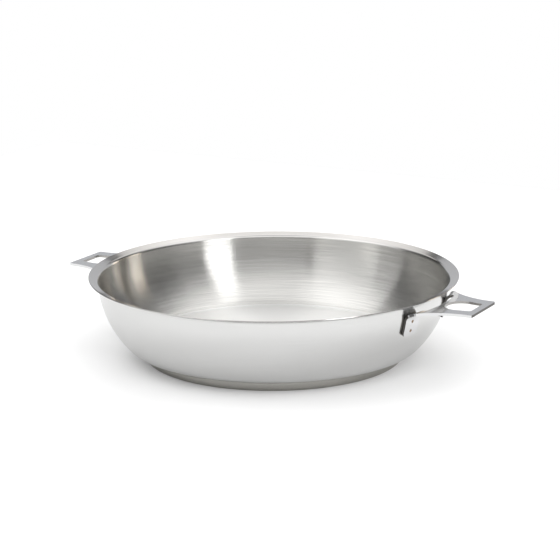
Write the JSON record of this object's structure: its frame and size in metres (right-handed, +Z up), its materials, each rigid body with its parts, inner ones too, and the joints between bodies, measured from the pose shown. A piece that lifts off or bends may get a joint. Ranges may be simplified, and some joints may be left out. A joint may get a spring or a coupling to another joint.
{
  "type": "frying pan",
  "caption": "Deep round frying pan with a curved side, a flared pouring lip, a thick base disc and short flat windowed handles on opposite sides.",
  "frame": {"origin": "centre of the underside of the base, on the pan's axis, where the pan stands", "axes": "+Z up along the pan's axis, +X and -X along the middle lines of the two side handles"},
  "size_m": [0.3608, 0.294, 0.0667],
  "materials": {
    "body_steel": "satin outside, fine circular brushing inside",
    "cap_steel": "satin",
    "core_aluminium": "plain",
    "handle_steel": "polished"
  },
  "bodies": {
    "root": {"pan_body": "body_steel", "base_cap": "cap_steel", "heat_core": "core_aluminium", "side_handle_right": "handle_steel", "side_handle_left": "handle_steel", "weld_right_front_upper": "handle_steel", "weld_right_front_lower": "handle_steel", "weld_right_back_upper": "handle_steel", "weld_right_back_lower": "handle_steel", "weld_left_front_upper": "handle_steel", "weld_left_front_lower": "handle_steel", "weld_left_back_upper": "handle_steel", "weld_left_back_lower": "handle_steel"}
  },
  "joints": []
}
